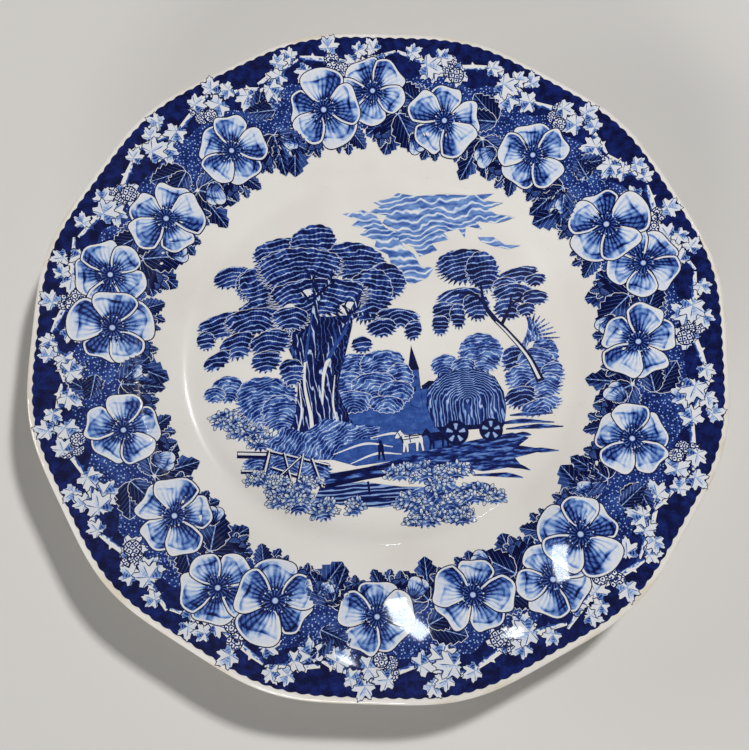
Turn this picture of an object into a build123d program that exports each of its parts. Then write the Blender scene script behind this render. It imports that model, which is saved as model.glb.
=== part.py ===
from build123d import *
import os
from math import cos, degrees, hypot, radians, sin, tau

# China dinner plate: a lathe-turned earthenware body on a foot ring, with a
# gently lobed rim. Printed transfers lie on the body, five end to end round the
# rim and one in the well. Clear glaze covers the face, the back and the base.
# Millimetres, +Z up. The origin is the middle of the circle the foot stands on.

# ---- driving dimensions ----
PLATE_RADIUS = 127.5
LOBES = 12
LOBE_DEPTH = 0.9
LOBE_TURN = 8.3
POINTS_PER_LOBE = 4

WELL_CORNER = (72.0, 7.6)
WELL_CORNER_ROUND = 14.0
RIM_CORNER = (88.5, 17.0)
RIM_CORNER_ROUND = 8.0
RIM_TOP = 24.8
RIM_THICKNESS = 3.6
EDGE_ROUND = 1.5

FLOOR_UNDERSIDE = 3.0
SHOULDER = (90.5, 13.2)
SHOULDER_ROUND = 12.0
FOOT_RADIUS = 70.0
FOOT_WIDTH = 3.2
FOOT_FLARE = 0.9
FOOT_ROUND = 0.9
FOOT_ROOT_ROUND = 1.2

GLAZE = 0.45
PRINT = 0.20
BARE_FOOT = 0.9

CENTRE_PRINT_RADIUS = 63.0
BORDER_INNER = 74.0
BORDER_MARGIN = 2.2
SEAM_GAP = 0.3
# Where each border transfer starts, in degrees: they were laid by eye.
BORDER_STARTS = (36.0, 109.1, 182.2, 255.1, 322.8)

# The turned section runs out to TRIM before the lobed outline cuts it back.
# Solids that only cut others reach from BELOW to TALL.
TRIM = PLATE_RADIUS + 6.0
BELOW = -10.0
TALL = 60.0


def slope_at(inner, outer, radius):
    """Height on the straight line through two (radius, height) points."""
    share = (radius - inner[0]) / (outer[0] - inner[0])
    return inner[1] + share * (outer[1] - inner[1])


RIM_SPAN = (PLATE_RADIUS, RIM_TOP)
UNDER_SPAN = (PLATE_RADIUS, RIM_TOP - RIM_THICKNESS)
FOOT_IN = FOOT_RADIUS - FOOT_WIDTH / 2
FOOT_OUT = FOOT_RADIUS + FOOT_WIDTH / 2

# The turned section, from the axis out along the underside and back over the
# face: each row is a corner, its rounding, and whether glaze covers the side
# that leaves it.
SECTION = (
    ((0.0, FLOOR_UNDERSIDE), 0.0, True),
    ((FOOT_IN - FOOT_FLARE, FLOOR_UNDERSIDE), FOOT_ROOT_ROUND, True),
    ((FOOT_IN, 0.0), FOOT_ROUND, False),
    ((FOOT_OUT, 0.0), FOOT_ROUND, True),
    ((FOOT_OUT + FOOT_FLARE, FLOOR_UNDERSIDE), FOOT_ROOT_ROUND, True),
    (SHOULDER, SHOULDER_ROUND, True),
    ((TRIM, slope_at(SHOULDER, UNDER_SPAN, TRIM)), 0.0, False),
    ((TRIM, slope_at(RIM_CORNER, RIM_SPAN, TRIM)), 0.0, True),
    (RIM_CORNER, RIM_CORNER_ROUND, True),
    (WELL_CORNER, WELL_CORNER_ROUND, True),
    ((0.0, WELL_CORNER[1]), 0.0, False),
)
FACE_FROM = 7


def shifted_meet(before, here, after, depth_in, depth_out):
    """Where the two sides of a corner meet once each has moved inward."""
    length_in = hypot(here[0] - before[0], here[1] - before[1])
    length_out = hypot(after[0] - here[0], after[1] - here[1])
    ux, uz = (here[0] - before[0]) / length_in, (here[1] - before[1]) / length_in
    vx, vz = (after[0] - here[0]) / length_out, (after[1] - here[1]) / length_out
    turn = ux * vz - uz * vx
    along = (depth_in * (ux * vx + uz * vz) - depth_out) / turn
    return (here[0] - uz * depth_in + ux * along, here[1] + ux * depth_in + uz * along), turn


def section_corners(depth):
    """The section's corners and roundings with its glazed sides moved inward."""
    corners = []
    for index, (here, rounding, glazed) in enumerate(SECTION):
        before, _, glazed_before = SECTION[index - 1]
        after = SECTION[(index + 1) % len(SECTION)][0]
        depth_in = depth if glazed_before else 0.0
        depth_out = depth if glazed else 0.0
        point, turn = shifted_meet(before, here, after, depth_in, depth_out)
        both = glazed and glazed_before
        change = 0.0 if not both else (-depth if turn > 0 else depth)
        corners.append((point, rounding + change if rounding else 0.0))
    return corners


def turned(corners):
    """A solid of revolution about Z from (radius, height) corners and roundings."""
    outline = make_face(Polyline([point for point, _ in corners], close=True))
    for point, rounding in corners:
        if rounding > 0.0:
            nearest = outline.vertices().sort_by_distance(Vector(point[0], point[1], 0))[0]
            outline = fillet(nearest, rounding)
    return revolve(Plane.XZ * outline, Axis.Z, 360)


def lobed_prism(margin):
    """A tall prism of the plate's lobed outline, moved inward by a margin."""
    count = LOBES * POINTS_PER_LOBE
    points = []
    for step in range(count):
        turn = tau * step / count
        angle = radians(LOBE_TURN) + turn
        wave = cos(LOBES * turn)
        radius = PLATE_RADIUS - margin - LOBE_DEPTH * (1.0 - wave)
        points.append((radius * cos(angle), radius * sin(angle)))
    outline = make_face(Spline(*points, periodic=True))
    return Pos(0, 0, BELOW) * extrude(outline, TALL - BELOW)


def plate_form(depth):
    """The whole plate with its glazed sides moved inward, and its rim edge rounded."""
    form = turned(section_corners(depth)) & lobed_prism(depth)
    rim_edges = form.edges().filter_by(GeomType.BSPLINE)
    return fillet(rim_edges, EDGE_ROUND - depth)


def face_layer(low_depth, high_depth):
    """A layer that lies on the face between two depths below the finished surface."""
    low = section_corners(low_depth)[FACE_FROM:]
    high = section_corners(high_depth)[FACE_FROM:]
    return turned(high + low[::-1])


def disc(radius):
    """A tall cylinder on the axis, to cut layers with."""
    return Pos(0, 0, BELOW) * extrude(make_face(Circle(radius).edges()), TALL - BELOW)


def wedge(start, end):
    """A tall wedge between two angles about the axis, in degrees."""
    reach = 2.0 * PLATE_RADIUS
    middle = (start + end) / 2.0
    rays = [(0.0, 0.0)]
    for angle in (start, middle, end):
        rays.append((reach * cos(radians(angle)), reach * sin(radians(angle))))
    return Pos(0, 0, BELOW) * extrude(make_face(Polyline(rays, close=True)), TALL - BELOW)


# ---- the biscuit body, and the skin of glaze round it ----
plate_body = plate_form(GLAZE)
skin = plate_form(0.0) - plate_body

# The face and back glazes meet half way down the rim's edge.
half_way = RIM_THICKNESS / 2.0
upper = turned([
    ((0.0, WELL_CORNER[1] - half_way), 0.0),
    ((WELL_CORNER[0], WELL_CORNER[1] - half_way), 0.0),
    ((RIM_CORNER[0], RIM_CORNER[1] - half_way), 0.0),
    ((TRIM, slope_at(RIM_CORNER, RIM_SPAN, TRIM) - half_way), 0.0),
    ((TRIM, TALL), 0.0),
    ((0.0, TALL), 0.0),
])

# ---- the printed transfers, under the face glaze ----
print_layer = face_layer(GLAZE, GLAZE - PRINT)
centre_print = print_layer & disc(CENTRE_PRINT_RADIUS)
border = (print_layer - disc(BORDER_INNER)) & lobed_prism(BORDER_MARGIN)
border_prints = []
for index, start in enumerate(BORDER_STARTS):
    end = BORDER_STARTS[(index + 1) % len(BORDER_STARTS)]
    if end < start:
        end += 360.0
    seam = degrees(SEAM_GAP / 2.0 / BORDER_INNER)
    border_prints.append(border & wedge(start + seam, end - seam))

face_glaze = (skin & upper) - centre_print
for strip in border_prints:
    face_glaze -= strip
inside_foot = disc(FOOT_RADIUS)
bare_zone = Pos(0, 0, BARE_FOOT - TALL) * disc(FOOT_OUT + FOOT_FLARE)
under_skin = (skin - upper) - bare_zone
base_glaze = under_skin & inside_foot
back_glaze = under_skin - inside_foot

# ---- one file for each piece ----
pieces = {
    "plate_body": plate_body,
    "centre_print": centre_print,
    "face_glaze": face_glaze,
    "back_glaze": back_glaze,
    "base_glaze": base_glaze,
}
for index, strip in enumerate(border_prints):
    pieces[f"border_print_{index + 1}"] = strip

os.makedirs("parts", exist_ok=True)
for name, piece in pieces.items():
    piece.label = name
    export_step(piece, f"parts/{name}.step")
    print(name, round(piece.volume, 1))
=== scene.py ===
import math
import random
from functools import partialmethod

import bpy
import numpy as np
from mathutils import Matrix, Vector
from mathutils.geometry import delaunay_2d_cdt


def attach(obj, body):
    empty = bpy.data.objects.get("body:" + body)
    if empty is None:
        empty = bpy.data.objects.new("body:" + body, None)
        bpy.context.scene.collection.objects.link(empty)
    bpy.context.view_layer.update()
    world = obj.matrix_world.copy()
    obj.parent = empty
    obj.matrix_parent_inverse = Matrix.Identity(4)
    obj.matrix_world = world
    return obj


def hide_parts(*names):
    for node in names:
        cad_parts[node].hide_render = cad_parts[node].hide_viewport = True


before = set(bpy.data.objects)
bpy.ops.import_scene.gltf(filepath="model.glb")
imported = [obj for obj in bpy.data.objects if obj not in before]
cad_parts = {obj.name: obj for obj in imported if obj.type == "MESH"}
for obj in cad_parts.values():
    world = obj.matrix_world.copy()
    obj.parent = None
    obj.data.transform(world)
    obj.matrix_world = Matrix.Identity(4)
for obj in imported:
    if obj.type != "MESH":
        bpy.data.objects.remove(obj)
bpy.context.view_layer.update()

# ---------------------------------------------------------------------------
# Plate body: cream earthenware, pressed and turned on a wheel, then fired.
# It shows only where the foot ring is wiped clean; glaze hides the rest.
# ---------------------------------------------------------------------------
MM = 0.001
PLATE_RADIUS = 127.5
LOBES = 12
LOBE_DEPTH = 0.9
LOBE_TURN = 8.3
LOBE_FROM = 92.0
GLAZE = 0.45
BARE_FOOT = 0.9
TURNS = 360
ARC_STEP = 4.0
LINE_STEP = 2.0
ON_AXIS = 1e-6
CREASE_ANGLE = 40.0
MIDDLE_PULL = 0.01

WELL_FLOOR = 7.6
FLOOR_UNDERSIDE = 3.0
FOOT_IN = 68.4
FOOT_OUT = 71.6
FOOT_FLARE = 0.9
RIM_TOP = 24.8
RIM_THICKNESS = 3.6
RIM_EDGE = [(PLATE_RADIUS, RIM_TOP - RIM_THICKNESS, 1.7), (PLATE_RADIUS, RIM_TOP, 1.5)]

# Corners of the turned section, (radius, height, rounding), from the middle of
# the underside, over the foot and the rim's edge, to the middle of the well.
SECTION = [
    (0.0, FLOOR_UNDERSIDE, 0.0),
    (FOOT_IN - FOOT_FLARE, FLOOR_UNDERSIDE, 1.2),
    (FOOT_IN, 0.0, 0.9),
    (FOOT_OUT, 0.0, 0.9),
    (FOOT_OUT + FOOT_FLARE, FLOOR_UNDERSIDE, 1.2),
    (90.5, 13.2, 12.0),
    *RIM_EDGE,
    (88.5, 17.0, 8.0),
    (72.0, WELL_FLOOR, 14.0),
    (0.0, WELL_FLOOR, 0.0),
]


def rounded_line(corners):
    """Points along straight runs and the arcs that round their corners."""
    spots = [np.array(corner[:2]) for corner in corners]
    line = [spots[0]]

    def run_to(end):
        start = line[-1]
        steps = max(1, round(np.linalg.norm(end - start) / LINE_STEP))
        line.extend(start + (end - start) * step / steps for step in range(1, steps + 1))

    for before, here, after, corner in zip(spots, spots[1:], spots[2:], corners[1:]):
        come = (before - here) / np.linalg.norm(before - here)
        leave = (after - here) / np.linalg.norm(after - here)
        half = math.acos(np.clip(np.dot(come, leave), -1.0, 1.0)) / 2.0
        back = corner[2] / math.tan(half)
        bisector = (come + leave) / np.linalg.norm(come + leave)
        middle = here + bisector * corner[2] / math.sin(half)
        run_to(here + come * back)
        first, last = here + come * back - middle, here + leave * back - middle
        sweep = math.pi - 2.0 * half
        steps = max(2, math.ceil(math.degrees(sweep) / ARC_STEP))
        for step in range(1, steps + 1):
            share = step / steps
            mix = first * math.sin((1.0 - share) * sweep) + last * math.sin(share * sweep)
            line.append(middle + mix / math.sin(sweep))
    run_to(spots[-1])
    return np.array(line)


def outward(line):
    """The direction straight out of the surface at each point of the section."""
    along = np.gradient(line, axis=0)
    along /= np.linalg.norm(along, axis=1)[:, None]
    return np.stack([along[:, 1], -along[:, 0]], axis=1)


surface = rounded_line(SECTION)
is_foot = (surface[:, 1] < BARE_FOOT) & (surface[:, 0] > FOOT_IN - FOOT_FLARE)
foot_first, foot_last = np.flatnonzero(is_foot)[[0, -1]]
# The outermost point of the rim, the one nearest the middle of its thickness.
off_middle = abs(surface[:, 1] - RIM_TOP + RIM_THICKNESS / 2.0)
edge_middle = int(np.argmax(surface[:, 0] - MIDDLE_PULL * off_middle))
inset = surface - outward(surface) * np.where(is_foot, 0.0, GLAZE)[:, None]
inset[0, 0] = inset[-1, 0] = 0.0


def lobed(radius, angle):
    """The radius of a turned point once the rim is pressed into its lobes."""
    share = np.clip((radius - LOBE_FROM) / (PLATE_RADIUS - LOBE_FROM), 0.0, 1.0)
    wave = np.cos(LOBES * (angle - math.radians(LOBE_TURN)))
    return radius - LOBE_DEPTH * (1.0 - wave) * share * share * (3.0 - 2.0 * share)


def turned_mesh(name, section):
    """A closed mesh turned from a section, with one vertex where it meets the axis."""
    angles = np.arange(TURNS) * math.tau / TURNS
    verts, rows = [], []
    for radius, height in section:
        if radius < ON_AXIS:
            rows.append([len(verts)] * TURNS)
            verts.append((0.0, 0.0, height * MM))
            continue
        rows.append(list(range(len(verts), len(verts) + TURNS)))
        rings = lobed(radius, angles) * MM
        heights = np.full(TURNS, height * MM)
        verts.extend(zip(rings * np.cos(angles), rings * np.sin(angles), heights))
    faces = []
    for low, high in zip(rows, rows[1:] + rows[:1]):
        for step in range(TURNS):
            after = (step + 1) % TURNS
            face = dict.fromkeys((low[step], low[after], high[after], high[step]))
            if len(face) > 2:
                faces.append(tuple(face))
    mesh = bpy.data.meshes.new(name)
    mesh.from_pydata(verts, [], faces)
    mesh.update()
    mesh.shade_smooth()
    mesh.set_sharp_from_angle(angle=math.radians(CREASE_ANGLE))
    piece = bpy.data.objects.new(name, mesh)
    bpy.context.collection.objects.link(piece)
    return piece


class Field:
    """One value or vector in a material's nodes; sums and products of it add Math nodes."""

    def __init__(self, finish, socket):
        self.finish = finish
        self.socket = socket

    def math(self, operation, *others):
        values = dict(enumerate((self, *others)))
        return self.finish.node("ShaderNodeMath", {"operation": operation}, values)

    def __rsub__(self, other):
        return self.finish.node("ShaderNodeMath", {"operation": "SUBTRACT"}, {0: other, 1: self})

    __add__ = __radd__ = partialmethod(math, "ADD")
    __sub__ = partialmethod(math, "SUBTRACT")
    __mul__ = __rmul__ = partialmethod(math, "MULTIPLY")
    __truediv__ = partialmethod(math, "DIVIDE")
    __pow__ = partialmethod(math, "POWER")
    __abs__ = partialmethod(math, "ABSOLUTE")

    def clamp(self):
        return self.math("MAXIMUM", 0.0).math("MINIMUM", 1.0)

    def step(self, low, high):
        """0 below low, 1 above high and smooth between; low may be the larger."""
        values = {"Value": self, "From Min": low, "From Max": high}
        return self.finish.node("ShaderNodeMapRange", {"interpolation_type": "SMOOTHSTEP"}, values)


class Finish:
    """A material, and the one method that adds nodes to it."""

    def __init__(self, name):
        self.material = bpy.data.materials.new(name)
        self.material.use_nodes = True
        self.tree = self.material.node_tree
        self.shader = self.tree.nodes["Principled BSDF"]

    def node(self, kind, settings=None, values=None, out=0):
        made = self.tree.nodes.new(kind)
        for key, value in (settings or {}).items():
            if key == "stops":
                stops = made.color_ramp.elements
                while len(stops) < len(value):
                    stops.new(0.5)
                for stop, (place, colour) in zip(stops, value):
                    stop.position = place
                    stop.color = (*colour, 1.0)
            else:
                setattr(made, key, value)
        for key, value in (values or {}).items():
            self.join(made.inputs[key], value)
        return Field(self, made.outputs[out])

    def join(self, socket, value):
        if isinstance(value, Field):
            self.tree.links.new(value.socket, socket)
        else:
            socket.default_value = value

    def vector(self, x, y, z=0.0):
        return self.node("ShaderNodeCombineXYZ", None, {0: x, 1: y, 2: z})

    def split(self, vector):
        parts = self.node("ShaderNodeSeparateXYZ", None, {0: vector}).socket.node
        return [Field(self, socket) for socket in parts.outputs]

    def noise(self, where, scale, detail=2.0, rough=0.5):
        values = {"Vector": where, "Scale": scale, "Detail": detail, "Roughness": rough}
        return self.node("ShaderNodeTexNoise", None, values)

    def sway(self, where, scale, reach, detail=2.0):
        """Noise to both sides of 0."""
        return (self.noise(where, scale, detail) - 0.5) * reach

    def cells(self, where, scale, loose=1.0, feature="F1"):
        """The distance to the nearest cell's middle, or to its edge."""
        settings = {"voronoi_dimensions": "2D", "feature": feature}
        values = {"Vector": where, "Scale": scale, "Randomness": loose}
        return self.node("ShaderNodeTexVoronoi", settings, values)

    def mix(self, share, first, second):
        values = {0: share, 6: first, 7: second}
        return self.node("ShaderNodeMix", {"data_type": "RGBA"}, values, out=2)

    def place(self):
        return self.node("ShaderNodeTexCoord", out="Object")

    def surface(self, **values):
        """Constants go on the shader's own sockets; fields are linked to them."""
        for key, value in values.items():
            self.join(self.shader.inputs[key.replace("_", " ")], value)


def sampled(red, green, blue):
    """A colour given as it looks on a screen, made linear, with alpha."""
    parts = [value / 255.0 for value in (red, green, blue)]
    line = [v / 12.92 if v <= 0.04045 else ((v + 0.055) / 1.055) ** 2.4 for v in parts]
    return (*line, 1.0)


def apart(x, y):
    """The distance of a point from the origin, in nodes."""
    return (x * x + y * y) ** 0.5


def biscuit_finish():
    finish = Finish("biscuit_earthenware")
    where = finish.place()
    grit = finish.noise(where, 900.0, 4.0, 0.7)
    stain = finish.noise(where, 60.0, 3.0, 0.6)
    clay = finish.mix(stain.step(0.35, 0.75), sampled(214, 203, 184), sampled(176, 158, 132))
    clay = finish.mix(grit.step(0.62, 0.72) * 0.5, clay, sampled(120, 104, 84))
    values = {"Strength": 0.35, "Distance": 0.00008, "Height": grit}
    bump = finish.node("ShaderNodeBump", None, values)
    finish.surface(Base_Color=clay, Roughness=0.8 + grit * 0.1, Normal=bump)
    return finish.material


body = turned_mesh("plate_body_biscuit", inset)
body.data.materials.append(biscuit_finish())
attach(body, "root")
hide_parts("plate_body")

# ---------------------------------------------------------------------------
# Glaze: clear lead-free glaze, poured on before the second firing. Over the
# cream body it reads as a warm white gloss. It is wiped off the foot ring.
# ---------------------------------------------------------------------------
GLAZE_WHITE = sampled(228, 224, 218)
GLAZE_SHADE = sampled(219, 214, 206)
EDGE_TINT = sampled(205, 188, 158)
COAT = {
    "Coat_Weight": 1.0,
    "Coat_Roughness": 0.022,
    "Coat_IOR": 1.52,
    "Specular_IOR_Level": 0.1,
}
RIPPLE = 0.18
WORN_FROM, WORN_TO = 0.1248, 0.1262


def glaze_ripple(finish, strength):
    """The glaze's slight unevenness: long soft waves and a trace of orange peel."""
    where = finish.place()
    height = finish.noise(where, 45.0, 1.0) + finish.noise(where, 500.0, 1.0) * 0.03
    values = {"Strength": strength, "Distance": 0.0006, "Height": height}
    return finish.node("ShaderNodeBump", None, values)


def glaze_finish(name, edge_wear):
    """Warm white glaze, with iron specks, knife marks and a browned rim edge."""
    finish = Finish(name)
    where = finish.place()
    x, y, z = finish.split(where)
    radius = apart(x, y)
    cloud = finish.noise(where, 22.0, 3.0)
    white = finish.mix(cloud.step(0.3, 0.75), GLAZE_WHITE, GLAZE_SHADE)
    speck = finish.noise(where, 1400.0, 0.0).step(0.80, 0.86)
    speck = speck * finish.noise(where, 90.0).step(0.55, 0.7)
    white = finish.mix(speck * 0.6, white, sampled(150, 130, 104))
    worn = finish.noise(where, 70.0, 3.0).step(0.42, 0.62)
    worn = worn * radius.step(WORN_FROM, WORN_TO) * edge_wear
    white = finish.mix(worn, white, EDGE_TINT)
    scratch_way = finish.vector(x * 0.35 + y * 0.2, y - x * 0.3, z)
    scratch = finish.noise(scratch_way, 900.0, 2.0, 0.8).step(0.66, 0.74)
    finish.surface(
        Base_Color=white,
        Roughness=0.22 + scratch * 0.12,
        Normal=glaze_ripple(finish, RIPPLE),
        **COAT,
    )
    return finish.material


def glaze_shell(name, node, first, last, finish):
    """The glaze between two points of the section, as a closed shell on the body."""
    outer = surface[first:last + 1]
    inner = inset[first:last + 1]
    shell = turned_mesh(name, np.concatenate([outer, inner[::-1]]))
    shell.data.materials.append(finish)
    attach(shell, "root")
    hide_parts(node)


face_white = glaze_finish("face_glaze_white", 0.55)
back_white = glaze_finish("back_glaze_white", 0.35)
glaze_shell("glazed_face", "face_glaze", edge_middle, len(surface) - 1, face_white)
glaze_shell("glazed_back", "back_glaze", foot_last + 1, edge_middle, back_white)
glaze_shell("glazed_base", "base_glaze", 0, foot_first - 1, back_white)

# ---------------------------------------------------------------------------
# Border transfers: tissue prints in cobalt from one engraved copper strip,
# laid end to end round the rim by eye before glazing. One repeat is a pair of
# open flowers and two single ones, on a dotted ground with a bramble garland.
# ---------------------------------------------------------------------------
LIFT = 0.05
SINK = 0.12
NEAR = 0.05
NO_LENGTH = 1e-9
WELD = 1e-4
RING_STEP = 3.0
FINE_RING_STEP = 0.7
FINE_RINGS = ((67.0, 77.0), (85.0, 92.0))
# The flat layout of a print's colours: the face takes this share, and the hidden
# underside and edges a small corner.
MAP_SHARE = 0.93
MAP_TUCK = 0.05
MAP_STEP = 0.04
BORDER_STARTS = (92.1, 165.2, 238.1, 305.8, 379.0)
BORDER_WIDTHS = (73.1, 73.1, 72.9, 67.7, 73.2)

face_line = surface[edge_middle:][::-1]
face_line = face_line[: int(np.argmax(face_line[:, 0] > PLATE_RADIUS - 1.6))]


def face_height(points):
    """Height of the pressed face under points given in plan."""
    reach = np.hypot(points[:, 0], points[:, 1])
    angle = np.arctan2(points[:, 1], points[:, 0])
    radius = reach
    for _ in range(4):
        radius = radius + reach - lobed(radius, angle)
    return np.interp(radius, face_line[:, 0], face_line[:, 1])


def face_normal(points):
    """The direction straight out of the face at points given in plan."""
    east, north = np.array([NEAR, 0.0]), np.array([0.0, NEAR])
    slope_x = (face_height(points + east) - face_height(points - east)) / (2 * NEAR)
    slope_y = (face_height(points + north) - face_height(points - north)) / (2 * NEAR)
    normal = np.stack([-slope_x, -slope_y, np.ones(len(points))], axis=1)
    return normal / np.linalg.norm(normal, axis=1)[:, None]


def ink_finish(name, draw):
    """Cobalt under glaze; draw works out from the motif's own x and y how dark it is."""
    finish = Finish(name)
    drawn = finish.node("ShaderNodeAttribute", {"attribute_name": "drawn"}, out=1)
    x, y, seed = finish.split(drawn)
    where = finish.place()
    tone = draw(finish, x, y, seed)
    tone = tone + finish.sway(where, 260.0, INK_GRAIN, 3.0)
    tone = tone + finish.sway(where, 1500.0, INK_GRAIN, 1.0)
    ink = finish.node("ShaderNodeValToRGB", {"stops": INK_STOPS}, {0: tone.clamp()})
    finish.surface(Base_Color=ink, Roughness=0.3, Normal=glaze_ripple(finish, RIPPLE), **COAT)
    return finish.material


INK_GRAIN = 0.16
INK_STOPS = [
    (0.0, GLAZE_WHITE[:3]),
    (0.18, sampled(195, 206, 225)[:3]),
    (0.42, sampled(114, 148, 202)[:3]),
    (0.66, sampled(48, 82, 154)[:3]),
    (0.84, sampled(14, 34, 106)[:3]),
    (1.0, sampled(0, 4, 50)[:3]),
]


def draw_line(finish, x, y, seed):
    return finish.noise(finish.vector(x, y, seed), 0.6, 2.0) * 0.25 + 0.86


def draw_pale(finish, x, y, seed):
    return finish.noise(finish.vector(x, y, seed), 0.8, 1.0) * 0.12


def draw_ground(finish, x, y, seed):
    where = finish.vector(x, y)
    dots = finish.cells(where, 0.68, 0.85)
    fine = finish.cells(where, 1.7, 0.9)
    base = finish.noise(where, 0.16, 3.0) * 0.60 + 0.56
    return base - dots.step(0.25, 0.10) * 0.52 - fine.step(0.34, 0.10) * 0.22


def draw_petal(finish, x, y, seed):
    away = apart(x, y)
    angle = y.math("ARCTAN2", x)
    wander = finish.noise(finish.vector(x * 3.0, y * 3.0, seed * 9.0), 1.0, 1.0)
    side = (seed * 2.0 - 1.0) * y * 3.0
    shade = (0.50 + side + (wander - 0.5) * 1.6 - (x - 0.55) * 0.8).step(0.0, 0.9)
    ribs = ((angle + (wander - 0.5) * 0.4 * x) * 34.0 + seed * 20.0).math("SINE").step(-0.6, 0.9)
    hatch = (away * 40.0 + y * y * 60.0 + wander * 6.0).math("SINE").step(0.0, 0.9)
    tone = shade * (0.50 + ribs * 0.14) + ribs * (0.95 - away).clamp() * 0.44
    ruffle = away - 0.80 + (angle * 5.0 + seed * 6.0).math("SINE") * 0.07
    crease = ruffle.step(-0.10, 0.0) * ruffle.step(0.02, 0.0) * (wander * 2.6 - 0.8).clamp()
    tone = tone + hatch * (shade - 0.3).clamp() * 0.24
    return tone + away.step(0.46, 0.20) * 0.30 + crease * 0.5 + 0.09


def draw_stamen(finish, x, y, seed):
    heads = finish.cells(finish.vector(x + seed, y), 10.5)
    away = apart(x, y)
    threads = (y.math("ARCTAN2", x) * 15.0 + away * 9.0).math("SINE").step(0.2, 0.8)
    threads = threads * away.step(0.10, 0.16) * away.step(0.38, 0.26)
    heads = heads.step(0.30, 0.16) * away.step(0.20, 0.27) * 0.72
    return 0.97 - heads - threads * 0.34 - away.step(0.10, 0.05) * 0.75


def draw_leaf(finish, x, y, seed):
    across = abs(y)
    rib = (across - 0.009 * (1.3 - x)).step(0.0, 0.010)
    vein_way = (x - across * 1.3) * 7.0 + seed * 5.0
    vein = vein_way.math("FRACT")
    vein = vein.step(0.0, 0.05) * vein.step(0.15, 0.08) * across.step(0.30, 0.18)
    hatch = (vein_way * 31.0).math("SINE").step(-0.1, 0.7)
    cloud = finish.noise(finish.vector(x * 2.0, y * 4.0, seed * 30.0), 1.4, 2.0)
    lit = (y * 4.0 + cloud * 2.0 - 1.05).step(0.0, 0.5)
    tone = 1.0 - lit * (hatch * 0.30 + 0.10)
    return tone - (vein * 0.40 + (1.0 - rib) * 0.60).clamp()


def draw_ivy(finish, x, y, seed):
    offset = x - 0.40
    away = apart(offset, y)
    angle = y.math("ARCTAN2", offset)
    fold = (angle * 2.9 + seed * 0.5).math("SINE")
    vein = abs(fold).step(0.20, 0.06) * away.step(0.48, 0.28)
    side = (y * (seed * 8.0 - 4.0) + 0.4).step(0.0, 0.8)
    hatch = (away * 60.0).math("SINE").step(-0.4, 0.6)
    shade = fold.step(-0.2, 0.8) * away.step(0.56, 0.20) * side
    return vein * 0.85 + shade * (hatch * 0.30 + 0.52) + 0.08


def draw_berry(finish, x, y, seed):
    gaps = finish.cells(finish.vector(x + seed * 7.0, y), 1.5, 0.45, "DISTANCE_TO_EDGE")
    pips = finish.cells(finish.vector(x + seed * 7.0, y), 1.5, 0.45)
    return gaps.step(0.16, 0.08) * 0.9 + pips.step(0.26, 0.15) * 0.9 + 0.02


def draw_twig(finish, x, y, seed):
    grain = finish.noise(finish.vector(x * 0.4, y, seed * 9.0), 1.3, 2.0)
    return (grain + y * 0.30).step(0.48, 0.70) * 0.70 + 0.02


def draw_band(finish, x, y, seed):
    return finish.noise(finish.vector(x, y), 0.3, 3.0) * 0.45 + 0.72


def cobalt_inks(*draws):
    """An ink for each way of engraving, under its name without draw_."""
    named = {draw.__name__.removeprefix("draw_"): draw for draw in draws}
    return {name: ink_finish("cobalt_" + name, draw) for name, draw in named.items()}


inks = cobalt_inks(
    draw_line, draw_ground, draw_band, draw_pale, draw_petal,
    draw_stamen, draw_leaf, draw_ivy, draw_berry, draw_twig,
)


def polar(angle, radius):
    """A place on the plate, from an angle in degrees and a radius."""
    return np.array([math.cos(math.radians(angle)), math.sin(math.radians(angle))]) * radius


def turned_by(points, angle):
    """Points turned about the origin by an angle in degrees."""
    cosine, sine = math.cos(math.radians(angle)), math.sin(math.radians(angle))
    return np.asarray(points) @ np.array([[cosine, sine], [-sine, cosine]])


def grown(outline, margin):
    """An outline moved outward all round by a margin."""
    come = outline - np.roll(outline, 1, axis=0)
    leave = np.roll(outline, -1, axis=0) - outline
    along = come / np.maximum(np.linalg.norm(come, axis=1), NO_LENGTH)[:, None]
    along = along + leave / np.maximum(np.linalg.norm(leave, axis=1), NO_LENGTH)[:, None]
    along /= np.maximum(np.linalg.norm(along, axis=1), NO_LENGTH)[:, None]
    return outline + np.stack([along[:, 1], -along[:, 0]], axis=1) * margin


def ribbon(path, widths):
    """A strip round a centre line, with its own width at each point."""
    path, widths = np.asarray(path, float), np.asarray(widths, float)
    along = np.gradient(path, axis=0)
    along /= np.linalg.norm(along, axis=1)[:, None]
    side = np.stack([-along[:, 1], along[:, 0]], axis=1) * widths[:, None] / 2.0
    return np.concatenate([path - side, (path + side)[::-1]])


def bent(points, count=12):
    """A smooth path through a few points, by Catmull-Rom spans."""
    before = 2 * np.array(points[0]) - points[1]
    after = 2 * np.array(points[-1]) - points[-2]
    spots = [before, *map(np.array, points), after]
    path = []
    for a, b, c, d in zip(spots, spots[1:], spots[2:], spots[3:]):
        for step in range(count):
            t = step / count
            square = (2 * a - 5 * b + 4 * c - d) * t * t
            cube = (3 * b - a - 3 * c + d) * t ** 3
            path.append(0.5 * (2 * b + (c - a) * t + square + cube))
    path.append(np.array(points[-1], float))
    return np.array(path)


def disc(radius, count=20):
    """A round outline."""
    turn = np.arange(count) * math.tau / count
    return np.stack([np.cos(turn), np.sin(turn)], axis=1) * radius


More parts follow.
